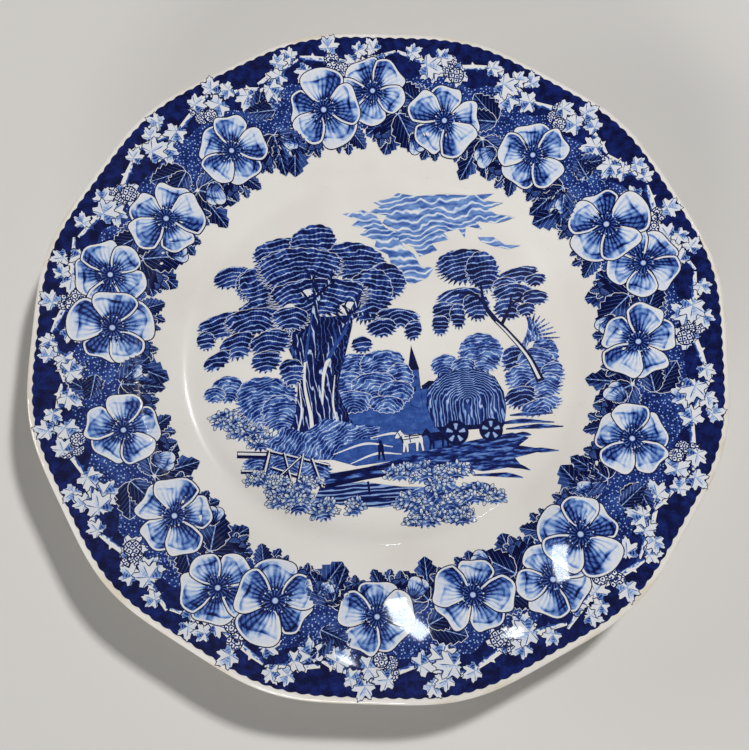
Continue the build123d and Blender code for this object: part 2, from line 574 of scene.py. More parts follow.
class Transfer:
    """The motifs of one print, in the order they lie over each other."""

    def __init__(self):
        self.motifs = []

    def add(self, ink, outline, at=(0.0, 0.0), turn=0.0, size=1.0, seed=0.0, line=0.0):
        """outline is in the motif's own units, each of them size millimetres long."""
        placed = turned_by(np.asarray(outline, float) * size, turn) + np.asarray(at, float)
        ahead = np.roll(placed, -1, axis=0)
        if np.sum(placed[:, 0] * ahead[:, 1] - placed[:, 1] * ahead[:, 0]) < 0.0:
            placed = placed[::-1]
        frame_of_motif = (np.asarray(at, float), turn, size, seed)
        if line:
            self.motifs.append(("line", grown(placed, line), frame_of_motif))
        self.motifs.append((ink, placed, frame_of_motif))


def ring_points(motifs):
    """Loose points on rings in the motifs' box, closer together where the face bends."""
    everything = np.concatenate([outline for _, outline, _ in motifs])
    low, high = everything.min(axis=0), everything.max(axis=0)
    reach = np.hypot(everything[:, 0], everything[:, 1])
    radius, points = max(reach.min(), RING_STEP), []
    if np.all(low < 0.0) and np.all(high > 0.0):
        radius = RING_STEP
    while radius < reach.max():
        count = max(6, round(math.tau * radius / RING_STEP))
        ring = disc(radius, count)
        points.append(ring[np.all((ring > low) & (ring < high), axis=1)])
        fine = any(first < radius < last for first, last in FINE_RINGS)
        radius += FINE_RING_STEP if fine else RING_STEP
    return np.concatenate(points)


def print_sheet(name, node, transfer, inks):
    """One print as a thin closed sheet; each triangle has its topmost motif's ink."""
    corners, outlines = [], []
    for _, outline, _ in transfer.motifs:
        outlines.append(list(range(len(corners), len(corners) + len(outline))))
        corners.extend(Vector(point) for point in outline)
    corners.extend(Vector(point) for point in ring_points(transfer.motifs))
    made = delaunay_2d_cdt(corners, [], outlines, 1, WELD)
    plan, found, owners = np.array([tuple(v) for v in made[0]]), made[2], made[5]
    keep = [(face, max(owner)) for face, owner in zip(found, owners) if owner]
    triangles = np.array([face for face, _ in keep])
    motif_of = [owner for _, owner in keep]

    edges = {}
    for a, b, c in triangles:
        for pair in ((a, b), (b, c), (c, a)):
            edges[pair] = None
    border = [pair for pair in edges if (pair[1], pair[0]) not in edges]
    used = np.unique(triangles)
    number = np.full(len(plan), -1)
    number[used] = np.arange(len(used))
    plan, triangles = plan[used], number[triangles]
    border = number[np.array(border)]
    count = len(plan)
    height = face_height(plan)
    top = np.column_stack([plan, height + LIFT])
    bottom = np.column_stack([plan, height - SINK])
    faces = [tuple(t) for t in triangles] + [tuple(t + count)[::-1] for t in triangles]
    faces += [(b, a, a + count, b + count) for a, b in border]

    mesh = bpy.data.meshes.new(name)
    mesh.from_pydata((np.concatenate([top, bottom]) * MM).tolist(), [], faces)
    kinds = sorted(inks)
    for kind in kinds:
        mesh.materials.append(inks[kind])
    slots = [kinds.index(transfer.motifs[owner][0]) for owner in motif_of]
    slots += [kinds.index("line")] * (len(faces) - len(slots))
    mesh.polygons.foreach_set("material_index", slots)

    drawn = np.zeros((len(mesh.loops), 3), np.float32)
    for row, (triangle, owner) in enumerate(zip(triangles, motif_of)):
        at, turn, size, seed = transfer.motifs[owner][2]
        drawn[3 * row:3 * row + 3, :2] = turned_by(plan[triangle] - at, -turn) / size
        drawn[3 * row:3 * row + 3, 2] = seed
    layer = mesh.attributes.new("drawn", "FLOAT_VECTOR", "CORNER")
    layer.data.foreach_set("vector", drawn.ravel())

    spots = np.zeros(len(mesh.loops), np.int32)
    mesh.loops.foreach_get("vertex_index", spots)
    low = plan.min(axis=0)
    flat = (plan - low) / (plan - low).max() * MAP_SHARE
    tucked = 1.0 - MAP_TUCK + np.concatenate([flat, flat + MAP_STEP]) * MAP_TUCK
    on_face = np.arange(len(spots))[:, None] < 3 * len(triangles)
    laid = np.where(on_face, np.concatenate([flat, flat])[spots], tucked[spots])
    mesh.uv_layers.new(name="OFBake").uv.foreach_set("vector", laid.astype(np.float32).ravel())

    upper = face_normal(plan)
    normals = np.concatenate([upper, -upper])[spots]
    mesh.shade_smooth()
    mesh.normals_split_custom_set(normals.tolist())
    piece = bpy.data.objects.new(name, mesh)
    bpy.context.collection.objects.link(piece)
    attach(piece, "root")
    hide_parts(node)


PETAL_POINTS = 36


def petal_outline(width, notch, ruffle):
    """A broad petal along x with a narrow claw, from the flower's middle to about 1."""
    turn = np.arange(PETAL_POINTS) * math.tau / PETAL_POINTS
    x = 0.56 + 0.44 * np.cos(turn) + ruffle * np.sin(5.0 * turn) * (np.cos(turn) > -0.3)
    x -= notch * np.exp(-(np.minimum(turn, math.tau - turn) / 0.4) ** 2)
    y = width * np.sin(turn) * (1.0 + 0.42 * np.cos(turn))
    return np.stack([x, y], axis=1)


def leaf_outline(width, teeth):
    """A pointed leaf along x from 0 to 1, cut into saw teeth that lean to its tip."""
    x = np.linspace(0.0, 1.0, 5 * teeth + 1)
    tooth = 1.0 - (x * teeth) % 1.0
    half = width * np.sin(math.pi * x ** 0.8) ** 0.8 * (0.84 + 0.30 * tooth)
    lower = np.stack([x + 0.04 * tooth * (x < 0.99), -half], axis=1)
    upper = np.stack([x + 0.04 * tooth * (x < 0.99), half], axis=1)[::-1]
    return np.concatenate([lower, upper[1:-1]])


IVY_LOBES = (
    (0, 0.66), (8, 0.53), (13, 0.55), (24, 0.37), (31, 0.36), (42, 0.50), (50, 0.55), (58, 0.43),
    (64, 0.45), (78, 0.31), (88, 0.32), (104, 0.42), (112, 0.38), (124, 0.36), (146, 0.20),
    (164, 0.24), (180, 0.10),
)


def ivy_outline():
    """A five-pointed bramble leaf along x, with its stalk near 0."""
    half = np.array([polar(angle, reach) for angle, reach in IVY_LOBES])
    return np.concatenate([half, (half * (1, -1))[1:-1][::-1]]) + (0.40, 0.0)


PETAL_ORDER = (0, 2, 4, 1, 3)
STAMEN_SPIKES = 18


def add_flower(transfer, at, radius, turn, chance):
    """Five petals, each over the one before, and a dark tuft of stamens."""
    transfer.add("line", disc(0.72), at, 0.0, radius)
    for petal in PETAL_ORDER:
        width, notch = chance.uniform(0.40, 0.54), chance.uniform(-0.05, 0.13)
        outline = petal_outline(width, notch, chance.uniform(-0.045, 0.045))
        lean = turn + 72.0 * petal + chance.uniform(-11.0, 11.0)
        size = radius * chance.uniform(0.88, 1.14)
        seed = chance.random()
        transfer.add("pale", outline, at, lean, size, seed, 0.4)
        transfer.add("petal", grown(outline, -0.05), at, lean, size, seed)
    steps = range(2 * STAMEN_SPIKES)
    reach = np.array([chance.uniform(0.32, 0.54) if step % 2 else 0.25 for step in steps])
    tuft = disc(1.0, len(steps)) * reach[:, None]
    transfer.add("stamen", tuft, at, turn, radius, chance.random())


def add_leaf(transfer, at, turn, length, chance, width=0.29):
    outline = leaf_outline(width * chance.uniform(0.85, 1.15), chance.choice((6, 7, 8)))
    seed = chance.random()
    transfer.add("pale", grown(outline, 0.20 / length), at, turn, length, seed)
    transfer.add("leaf", outline, at, turn, length, seed)


def add_spray(transfer, at, turn, length, chance, count=5):
    """A fan of leaves from one stalk."""
    for step in sorted(range(count), key=lambda s: -abs(s - (count - 1) / 2)):
        lean = (step - (count - 1) / 2) * 43.0 + chance.uniform(-9.0, 9.0)
        share = 1.0 - 0.13 * abs(step - (count - 1) / 2) + chance.uniform(-0.08, 0.08)
        add_leaf(transfer, at, turn + lean, length * share, chance)


def add_berries(transfer, at, turn, chance, size=2.6, ink="berry"):
    """Three round berries set round one point."""
    for lean in (-45.0, 25.0, 95.0):
        spot = np.asarray(at) + polar(turn + lean, size * 1.2)
        across = size * chance.uniform(0.92, 1.08)
        transfer.add(ink, disc(1.0, 18), spot, turn, across, chance.random(), 0.4)


def add_rod(transfer, come, leave, chance):
    """A straight piece of bramble with its thorns, shaded along one side."""
    way = np.asarray(leave) - come
    length = math.hypot(*way)
    places = np.sort([chance.uniform(0.15, 0.9) for _ in range(5)]) * length
    lower, upper = [(0.0, -0.4)], [(0.0, 0.4)]
    for step, place in enumerate(places):
        edge, thorn = (lower, -1.0) if step % 2 else (upper, 1.0)
        edge.extend([(place - 0.5, thorn), (place + 0.5, thorn * 2.2), (place + 0.8, thorn)])
    outline = [*lower, (length, -0.5), (length, 0.5), *upper[::-1]]
    lean = math.degrees(math.atan2(way[1], way[0]))
    transfer.add("twig", outline, come, lean, 1.0, chance.random(), 0.35)


def add_bud(transfer, at, turn, length, chance):
    """A closed flower on its sepals."""
    add_leaf(transfer, at, turn + 24.0, length * 0.8, chance, 0.2)
    add_leaf(transfer, at, turn - 24.0, length * 0.8, chance, 0.2)
    petal = petal_outline(0.26, 0.0, 0.0)
    for lean in (-13.0, 11.0):
        transfer.add("petal", petal, at, turn + lean, length, chance.random(), 0.3)


# One repeat of the border, as (degrees from the pair's middle, radius, size, turn).
FLOWERS = (
    (-5.8, 103.2, 12.8, 20.0), (5.4, 98.0, 14.0, 64.0), (-22.6, 94.8, 13.2, 10.0),
    (-44.6, 96.6, 12.8, 40.0),
)
# Fans of leaves under the flowers, as (degrees, radius, way from straight out, length,
# leaves).
SPRAYS = (
    (13.0, 94.0, 165.0, 16.5, 3), (0.5, 90.0, 190.0, 10.0, 2), (-11.5, 95.0, 190.0, 17.0, 4),
    (-11.5, 103.0, 250.0, 14.0, 2), (-21.0, 88.0, 186.0, 9.0, 2), (-32.5, 93.0, 195.0, 16.5, 4),
    (-34.0, 101.0, 90.0, 15.0, 2), (-43.0, 88.0, 176.0, 9.5, 2), (-55.0, 95.0, 178.0, 17.0, 3),
    (-53.0, 103.0, 300.0, 14.0, 2), (-16.5, 99.0, 60.0, 13.0, 1), (15.5, 103.0, 70.0, 13.0, 1),
)
# Closed flowers, as (degrees, radius, direction from straight out, length).
BUDS = (
    (-15.5, 88.0, 215.0, 7.5), (-36.5, 91.5, 150.0, 8.5), (-58.5, 98.5, 20.0, 8.0),
    (17.5, 92.0, 215.0, 7.5),
)
# Small leafy sprigs with berries along the inner edge, as (degrees, radius, berry size).
SPRIGS = (
    (3.5, 85.5, 1.7), (-8.0, 87.0, 1.9), (-28.0, 86.5, 1.8), (-39.0, 85.0, 1.7),
    (-50.0, 86.5, 1.8), (9.5, 86.0, 1.8),
)
GARLAND_RADIUS = 117.6
GARLAND_PLACES = 29
RODS = 4
GARLAND_BERRIES = (4, 13, 22)
BAND_INNER = 111.5
PRINT_EDGE = PLATE_RADIUS - 1.9
GROUND_INNER = 91.0
PAIR_LEAD = 17.0
ROD_TURN = 4.4
ROD_SLANT = 2.6
BORDER_SEED = 7


def arc_points(radius, first, last, wave=None, density=1.6):
    """Points along an arc between two angles in degrees; wave adds to the radius."""
    angles = np.linspace(first, last, max(2, round(abs(last - first) * density)) + 1)
    radii = radius + (wave(angles) if wave else 0.0)
    turn = np.radians(angles)
    return np.stack([np.cos(turn) * radii, np.sin(turn) * radii], axis=1)


def lobe_drop(angles):
    return -LOBE_DEPTH * (1.0 - np.cos(LOBES * np.radians(angles - LOBE_TURN)))


def border_transfer(start, width):
    """One laid strip, from the angle of its pair of flowers and its length in degrees."""
    chance = random.Random(BORDER_SEED)
    squeeze = width / BORDER_WIDTHS[0]
    transfer = Transfer()
    first, last = start - width + PAIR_LEAD, start + PAIR_LEAD

    def scallop(angles):
        return lobe_drop(angles) + 0.55 * np.abs(np.sin(np.radians(angles * 90.0)))

    def band_wave(angles):
        slow = 1.4 * np.sin(np.radians(angles * 31.0))
        return lobe_drop(angles) + slow + 0.8 * np.sin(np.radians(angles * 53.0))

    def inner_wave(angles):
        return 2.6 * np.sin(np.radians((angles - start) * 19.0))

    inner_edge = arc_points(GROUND_INNER, first, last, inner_wave)
    outer_edge = arc_points(PRINT_EDGE - 0.6, first, last, scallop, 4.0)
    ground_edge = arc_points(BAND_INNER + 4.0, first, last, lobe_drop)
    transfer.add("ground", np.concatenate([ground_edge, inner_edge[::-1]]))
    band_edge = arc_points(BAND_INNER, first, last, band_wave)
    transfer.add("band", np.concatenate([outer_edge, band_edge[::-1]]))

    for step in range(2 * RODS):
        side = 1.0 if step % 2 else -1.0
        angle = first + (last - first) * (step + 0.5) / (2 * RODS)
        middle = GARLAND_RADIUS + lobe_drop(angle)
        slant = side * ROD_SLANT
        come = polar(angle - ROD_TURN, middle + slant + chance.uniform(-0.6, 0.6))
        leave = polar(angle + ROD_TURN, middle - slant + chance.uniform(-0.6, 0.6))
        add_rod(transfer, come, leave, chance)
    for step in range(GARLAND_PLACES):
        angle = first + (last - first) * (step + 0.5) / GARLAND_PLACES
        side = 1.0 if step % 2 else -1.0
        drop = lobe_drop(angle)
        if step in GARLAND_BERRIES:
            place = polar(angle, GARLAND_RADIUS - 1.8 + drop)
            add_berries(transfer, place, angle + 100.0, chance)
            continue
        place = polar(angle, GARLAND_RADIUS + drop + side * 0.9)
        turn = angle + (-55.0 if side > 0 else 135.0) + chance.uniform(-32.0, 32.0)
        if step % 3 == 1:
            turn += 110.0 if side > 0 else 95.0
        size = chance.uniform(9.0, 11.2) if side < 0 else chance.uniform(7.2, 8.8)
        transfer.add("ivy", ivy_outline(), place, turn, size, chance.random(), 0.35)

    for offset, radius, direction, length, count in SPRAYS:
        angle = start + offset * squeeze
        add_spray(transfer, polar(angle, radius), angle + direction, length, chance, count)
    for offset, radius, size in SPRIGS:
        angle = start + offset * squeeze
        add_spray(transfer, polar(angle, radius + 1.0), angle + 180.0, 3.2 * size, chance, 3)
        add_berries(transfer, polar(angle, radius + 2.0), angle + 120.0, chance, size, "leaf")
    for offset, radius, direction, length in BUDS:
        angle = start + offset * squeeze
        add_bud(transfer, polar(angle, radius), angle + direction, length, chance)
    for offset, radius, size, turn in FLOWERS:
        angle = start + offset * squeeze
        add_flower(transfer, polar(angle, radius), size, angle + turn, chance)
    return transfer


for index, (start, width) in enumerate(zip(BORDER_STARTS, BORDER_WIDTHS)):
    strip = border_transfer(start, width)
    print_sheet(f"border_print_{index + 1}_cobalt", f"border_print_{index + 1}", strip, inks)

# ---------------------------------------------------------------------------
# Centre transfer: one round tissue print in the well. A great spreading tree
# and a lighter one frame a lane with a hay wagon, a spire, a brook and shrubs.
# Light lines are bare ground left between the engraver's cuts.
# ---------------------------------------------------------------------------


def light_lines(way, pitch, light, soft=0.10):
    """1 on thin lines at each whole pitch along a way, 0 between them."""
    share = (way / pitch).math("FRACT")
    return share.step(0.0, soft) * share.step(light + soft, light)


def draw_foliage(finish, x, y, seed):
    where = finish.vector(x, y, seed * 40.0)
    wander = finish.sway(where, 0.11, 5.0) + finish.sway(where, 0.7, 0.7, 1.0)
    away = (x * x * 0.6 + y * y) ** 0.5
    lines = light_lines(away + wander, 1.9, 0.20)
    patch = finish.noise(where, 0.28, 2.0)
    hatch = ((y.math("ARCTAN2", x) + wander * 0.02) * 60.0).math("SINE").step(0.0, 0.9)
    return 0.74 + patch.step(0.30, 0.62) * 0.30 - hatch * 0.12 - lines * 0.54


def draw_bush(finish, x, y, seed):
    where = finish.vector(x, y, seed * 40.0)
    wander = finish.sway(where, 0.16, 5.0) + finish.sway(where, 1.0, 0.8, 1.0)
    lines = light_lines(apart(x, y) + wander, 1.35, 0.22)
    patch = finish.noise(where, 0.35, 2.0)
    return 0.54 + patch.step(0.35, 0.65) * 0.34 - lines * 0.40


def draw_shade(finish, x, y, seed):
    where = finish.vector(x, y, seed * 40.0)
    wander = finish.sway(where, 0.35, 3.0)
    lines = light_lines(x * 0.8 + wander, 1.3, 0.14)
    return 0.92 + finish.noise(where, 0.3, 2.0) * 0.1 - lines * 0.38


def draw_bark(finish, x, y, seed):
    where = finish.vector(x, y * 0.22, seed * 20.0)
    wander = finish.sway(where, 0.45, 5.0)
    lines = light_lines(x + wander + y * 0.12, 2.1, 0.20)
    return 0.97 - lines * 0.72 - (finish.noise(where, 1.6, 2.0) - 0.45).clamp() * 0.5


def draw_cloud(finish, x, y, seed):
    where = finish.vector(x * 0.30, y, seed * 20.0)
    wander = finish.sway(finish.vector(x * 0.5, y * 0.3, seed * 9.0), 0.20, 13.0)
    lines = light_lines(y + wander, 2.7, 0.30, 0.2)
    return 0.40 + finish.noise(where, 0.5, 2.0).step(0.3, 0.7) * 0.26 - lines * 0.40


def draw_hay(finish, x, y, seed):
    above = y.math("MAXIMUM", 0.0) * 1.5
    where = finish.vector(x, y * 0.3, seed)
    wander = finish.sway(where, 0.35, 4.2)
    away = apart(x, above) + wander
    lines = light_lines(away, 1.25, 0.34, 0.14)
    return 0.92 - lines * 0.48 - finish.noise(where, 0.35, 1.0).step(0.45, 0.7) * 0.20


def draw_water(finish, x, y, seed):
    where = finish.vector(x * 0.16, y, seed)
    wander = finish.sway(where, 0.8, 1.6, 1.0)
    lines = light_lines(y + wander, 1.5, 0.38, 0.12)
    return 0.92 - lines * 0.55


def draw_lane(finish, x, y, seed):
    where = finish.vector(x * 0.22, y, seed * 10.0)
    streak = finish.noise(where, 0.9, 3.0)
    return streak.step(0.66, 0.40) * 0.48 + 0.48


def draw_haze(finish, x, y, seed):
    where = finish.vector(x * 0.5, y, seed * 10.0)
    return 0.52 + finish.noise(where, 0.5, 3.0) * 0.32


def draw_leaflet(finish, x, y, seed):
    return seed * 0.26 + (0.3 - x).clamp() * 0.45 + abs(y).step(0.03, 0.0) * 0.5 + 0.04


def draw_wheel(finish, x, y, seed):
    angle = y.math("ARCTAN2", x)
    away = apart(x, y)
    spokes = (angle * 5.0 + 0.4).math("SINE").step(0.0, 0.7)
    spokes = spokes * away.step(0.22, 0.30) * away.step(0.80, 0.72)
    return 0.98 - spokes * 0.65


centre_inks = cobalt_inks(
    draw_foliage, draw_bush, draw_shade, draw_bark, draw_cloud, draw_hay,
    draw_water, draw_lane, draw_haze, draw_leaflet, draw_wheel,
)
centre_inks.update({name: inks[name] for name in ("line", "pale", "twig")})


def bough_outline(across, up, fingers, ragged, chance):
    """A rounded mass of leaves: gentle lobes above and hanging leaf tips below."""
    count = 12 * fingers
    turn = np.arange(count) * math.tau / count
    phase = chance.uniform(0.0, math.tau)
    lobes = 0.05 * np.abs(np.sin(fingers * turn / 2.0 + phase)) + 0.04 * np.sin(3.0 * turn + phase)
    tips = ragged * np.abs(np.sin(fingers * turn + phase)) ** 1.5
    below = np.clip(-np.sin(turn) + 0.30 + np.abs(np.cos(turn)) * 0.45, 0.0, 1.0)
    reach = 0.94 + lobes * (1.0 - below) - tips * below
    return np.stack([across * reach * np.cos(turn), up * reach * np.sin(turn)], axis=1)


CENTRE_SEED = 21
LEAVES_PER_MM = 3.2
RIGHT_CROWN = 1.12

centre = Transfer()
chance = random.Random(CENTRE_SEED)


def add_mass(ink, x, y, across, up, lean=0.0, ragged=0.20, spring=1.15, edge=0.17):
    """A mass of leaves whose lines spring from a point below its middle."""
    outline = bough_outline(across, up, max(7, round((across + up) * 0.75)), ragged, chance)
    outline = turned_by(outline, lean) + np.array([0.0, up * spring])
    if edge:
        placed = outline + np.array([x, y - up * spring])
        centre.add("pale", grown(placed, edge))
    centre.add(ink, outline, (x, y - up * spring), 0.0, 1.0, chance.random())


def add_stem(ink, points, widths, line=0.0):
    """A trunk, branch, rail or stroke along a smooth path."""
    path = bent(points, 6)
    spread = np.interp(np.linspace(0, 1, len(path)), np.linspace(0, 1, len(widths)), widths)
    centre.add(ink, ribbon(path, spread), seed=chance.random(), line=line)


def add_masses(ink, places, sway=0.0, **shape):
    """A mass at each (x, y, across, up, lean); where sway is given, the lean is drawn."""
    for place in places:
        lean = (chance.uniform(-sway, sway),) if sway else ()
        add_mass(ink, *place, *lean, **shape)


def add_stems(ink, strokes, widths=None, line=0.0):
    """A stem for each (points, widths), or for each row of points if all share widths."""
    for stroke in strokes:
        points, spread = (stroke, widths) if widths else stroke
        add_stem(ink, points, spread, line)


def add_shrub(x, y, across, up):
    """A low shrub: small leaves, each with its dark edge, over a mass in mid blue."""
    add_mass("bush", x, y, across, up, edge=0.0, ragged=0.3)
    leaves = LEAVES_PER_MM * (across + up)
    for step in range(round(leaves)):
        share = 1.0 - (step / leaves) ** 1.5
        lean = chance.uniform(-40.0, 220.0)
        spot = polar(lean, share) * (across * 0.92, up * 0.92) + (x, y)
        leaf = disc(1.0, 8) * (chance.uniform(0.9, 1.5), chance.uniform(0.38, 0.62))
        turn = lean + chance.uniform(-45.0, 45.0)
        centre.add("leaflet", leaf, spot, turn, 1.0, chance.random(), 0.22)


# Clouds: bands of mid blue with light waves, falling to the left behind the great tree.
for corners, middle in (
    ([(-9, 58), (-1, 59), (4, 56), (7, 51), (12, 48), (13, 43), (17, 39), (19, 34), (24, 33),
     (21, 29), (15, 27), (11, 30), (12, 33), (8, 35), (7, 40), (2, 43), (3, 46), (-3, 49), (0, 51),
     (-6, 53), (-3, 55)], (6, 44)),
    ([(3, 62), (10, 63), (13, 65), (20, 63), (29, 63), (41, 61), (50, 60), (45, 58.5), (53, 56),
     (47, 55), (50, 52.5), (57, 50), (50, 49), (42, 50.5), (44, 47), (38, 49), (37, 44), (35, 48),
     (29, 47), (31, 44), (24, 43), (26, 40), (19, 38), (17, 42), (12, 45), (11, 49), (6, 53),
     (8, 56), (1, 58), (6, 60)], (28, 53)),
    ([(42, 44), (48, 43.5), (52, 40), (58, 39), (53, 38), (47, 40), (43, 42)], (49, 41)),
):
    centre.add("cloud", np.array(corners) - middle, middle, 0.0, 1.0, chance.random())

# Far trees, the hill, the spire and the roofs.
add_masses("bush", ((38, -3, 9.5, 8.5), (24, -6.5, 5.5, 5), (31, -7, 5, 3.5)))
centre.add("haze", [
    (-14, -22), (-6, -17), (4, -19), (10, -16), (19, -12), (26, -14), (24, -40), (-12, -40),
])
centre.add("haze", [(10.6, -6), (14.0, -6), (14.4, -22), (10.2, -20)], line=0.25)
centre.add("line", [(12.3, 3.0), (10.2, -6.6), (14.5, -6.6)])
for x, y, across, up in ((11.2, -9.5, 0.7, 1.5), (12.9, -9.5, 0.7, 1.5), (12.1, -14.0, 0.9, 2.0)):
    centre.add("line", disc(1.0, 8) * (across / 2.0, up / 2.0), (x, y))
centre.add("line", [(14.6, -13.0), (17.5, -11.2), (24.0, -12.2), (24.0, -13.2), (15.0, -14.4)])
add_masses("bush", (
    (-9, -5, 9, 7), (1, -4, 9, 6.5), (-12, -11, 8, 6), (7, -9, 5.5, 5.5), (-3, -12, 9, 6),
    (5, -15, 7, 5), (-11, -17, 8, 4.5), (1, -19, 7, 3.5),
), 12, ragged=0.12)

# Bushes to the left, and the dark thicket to the right.
add_masses("bush", ((-57, -8.5, 7, 5.5), (-62, -10, 4.5, 3.2)))
for x, y, across, up in ((-58, -20, 7, 4), (-51, -24, 8, 5), (-46, -29, 6, 4)):
    add_shrub(x, y, across, up)
add_masses("bush", ((-43, -14.5, 12.5, 10.5), (-38, -19.5, 8, 7.5), (62, -6, 5.5, 8)))
for step in range(9):
    lean = math.radians(18.0 + 8.0 * step)
    tip = (54.0 + 15.0 * math.cos(lean), -4.0 + 17.0 * math.sin(lean))
    add_stem("bush", [(53.0, -5.0), (56.0 + step * 0.2, 1.0 + step * 0.6), tip], (1.4, 1.8, 0.3))
for x, y, across, up in (
    (50, -7, 5.5, 6.5), (58, -8, 8, 6), (64, -13, 5, 5), (52, -14, 7, 6), (60, -18, 8, 5.5),
    (51, -21, 7, 4.5), (58, -25, 9, 3.5),
):
    ink = "bush" if x > 51 else "foliage"
    add_mass(ink, x, y, across, up, chance.uniform(-15, 15), ragged=0.3)

# The right tree leans in over the wagon.
for x, y, across, up in (
    (36, 32, 11.5, 7), (42.5, 29, 6.5, 8), (56, 27, 7.5, 3.2), (62, 24.5, 4, 2.4),
    (50, 24, 4.5, 2.4), (33, 20, 9.5, 3.6), (26.5, 14.5, 5, 4), (24, 9.5, 3.2, 4),
    (31, 12.5, 3, 5), (38.5, 15.5, 5, 5.5), (53, 19.5, 8.5, 4), (61, 17.5, 5, 3),
    (50, 13.5, 5.5, 4), (57, 13, 3.5, 2.6),
):
    lean = chance.uniform(-12, 12)
    add_mass("foliage", x, y, across * RIGHT_CROWN, up * RIGHT_CROWN, lean, ragged=0.26)
add_stems("line", (
    ([(59, -15), (55.5, -5), (49, 5), (44.5, 11), (41.5, 17), (41, 26)],
     (3.2, 2.3, 1.9, 1.9, 1.5, 0.6)),
    ([(47, 8), (51, 15), (52, 20)], (1.4, 1, 0.6)),
    ([(42, 16), (38, 21), (31, 22), (26, 20)], (1.5, 1.2, 0.8, 0.4)),
    ([(51, 15), (57, 19), (61, 19)], (0.9, 0.7, 0.4)),
))
add_stem("pale", [(58.6, -14), (55.2, -5), (49.0, 4.6), (45, 9.6)], (1.1, 0.9, 0.8, 0.3))

# The great tree: boughs behind, then its two stems, then the nearer boughs.
add_masses("foliage", (
    (-53, 35.5, 8, 4.6, 15), (-47, 31, 5.5, 6.5, 0), (-34, 42, 11.5, 8.5, 0), (-21, 45, 10, 10, 0),
    (-6, 37.5, 13, 8.5, -12), (5, 28.5, 8.5, 8, -25), (-42, 31, 9, 9, 10), (-27, 36, 18, 10, 0),
    (-2, 23, 10, 12, -20), (-38, 22, 15, 6, 8), (-24, 24, 12, 8, 0),
))
add_mass("foliage", -21, 24, 21, 9, ragged=0.3)
centre.add("shade", bent([
    (-38, -34), (-33, -22), (-31, -4), (-34, 8), (-33, 17), (-26, 18), (-18, 17), (-9, 16),
    (-11, 6), (-16, -12), (-11, -30), (-24, -36), (-38, -34),
], 4)[:-1])
for x, y, across, up in ((-10, 20, 3.6, 2.2), (-25, 27, 2.4, 1.6), (-32, 22, 2.4, 1.4)):
    centre.add("pale", bough_outline(across, up, 5, 0.3, chance), (x, y), 15.0)
add_stems("bark", (
    ([(-36, -34), (-30.5, -24), (-28, -8), (-29, 4), (-33, 14)], (13, 6.5, 5, 4, 1.6)),
    ([(-27, -34), (-26, -18), (-26, -2), (-24, 12), (-21, 26)], (9, 5, 4.2, 3.6, 1.6)),
    ([(-15, -31), (-20.5, -18), (-20, -2), (-15, 9), (-9, 17), (-5, 25)],
     (10, 5.4, 4.6, 3.6, 2, 0.9)),
    ([(-26, 3), (-32, 11), (-41, 16), (-51, 18)], (4.2, 2.6, 1.6, 0.7)),
    ([(-21.5, 22), (-22, 31), (-25, 37)], (2.4, 1.3, 0.5)),
    ([(-21.5, 24), (-17, 30), (-14, 36)], (1.8, 1.1, 0.5)),
    ([(-13, 10), (-9, 17), (-12, 21)], (1.4, 0.8, 0.4)),
    ([(-9, 16), (-4, 17), (0, 15)], (1.2, 0.9, 0.5)),
), line=0.25)
add_stems("twig", (
    ([(-27.5, -33), (-27, -22), (-28.5, -8), (-26.5, 6), (-23.5, 19)], (2.2, 1.3, 0.9, 1.1, 0.4)),
    ([(-22.5, -17), (-21, -5), (-17.5, 3), (-12.5, 10), (-9, 17)], (0.5, 1.2, 1.5, 1.1, 0.4)),
    ([(-17, 3.5), (-15.5, 8), (-16.5, 14)], (0.9, 0.8, 0.3)),
    ([(-29, -4), (-32, 5), (-36, 11)], (0.5, 0.9, 0.3)),
    ([(-34, -31), (-30.5, -20), (-30.5, -8)], (0.4, 0.7, 0.3)),
    ([(-17, -27), (-18.5, -17), (-17, -6)], (0.4, 0.7, 0.3)),
))
add_stems("line", (
    [(-24, 23), (-27, 28), (-31, 31)], [(-21, 27), (-22.5, 32), (-20, 36)],
    [(-22, 25), (-17, 29), (-13, 31)], [(-10, 17), (-11, 21), (-8.5, 24)],
    [(-9.5, 17.5), (-6, 19.5), (-5, 22)], [(-12, 14), (-14.5, 19), (-13, 22)],
), (1.1, 0.7, 0.3))
add_masses("foliage", (
    (-57, 16.5, 11, 5.5, 10), (-46, 17, 12, 6, 5), (-64, 11, 4, 4, 20), (-52, 8, 8, 5.5, 25),
    (-60, 3, 6.5, 3.4, 30), (-40, 8, 9, 5.5, 10), (-42, 1, 6.5, 4.5, 10), (-32, 17, 8, 5, -8),
    (-33, -4, 5, 6, 0), (8.5, 14, 9, 4.2, -10), (13.5, 8.5, 3.6, 4.4, -25), (2, 10.5, 6.5, 4, 0),
    (-6, 4.5, 4.5, 3.6, 0),
), ragged=0.26)

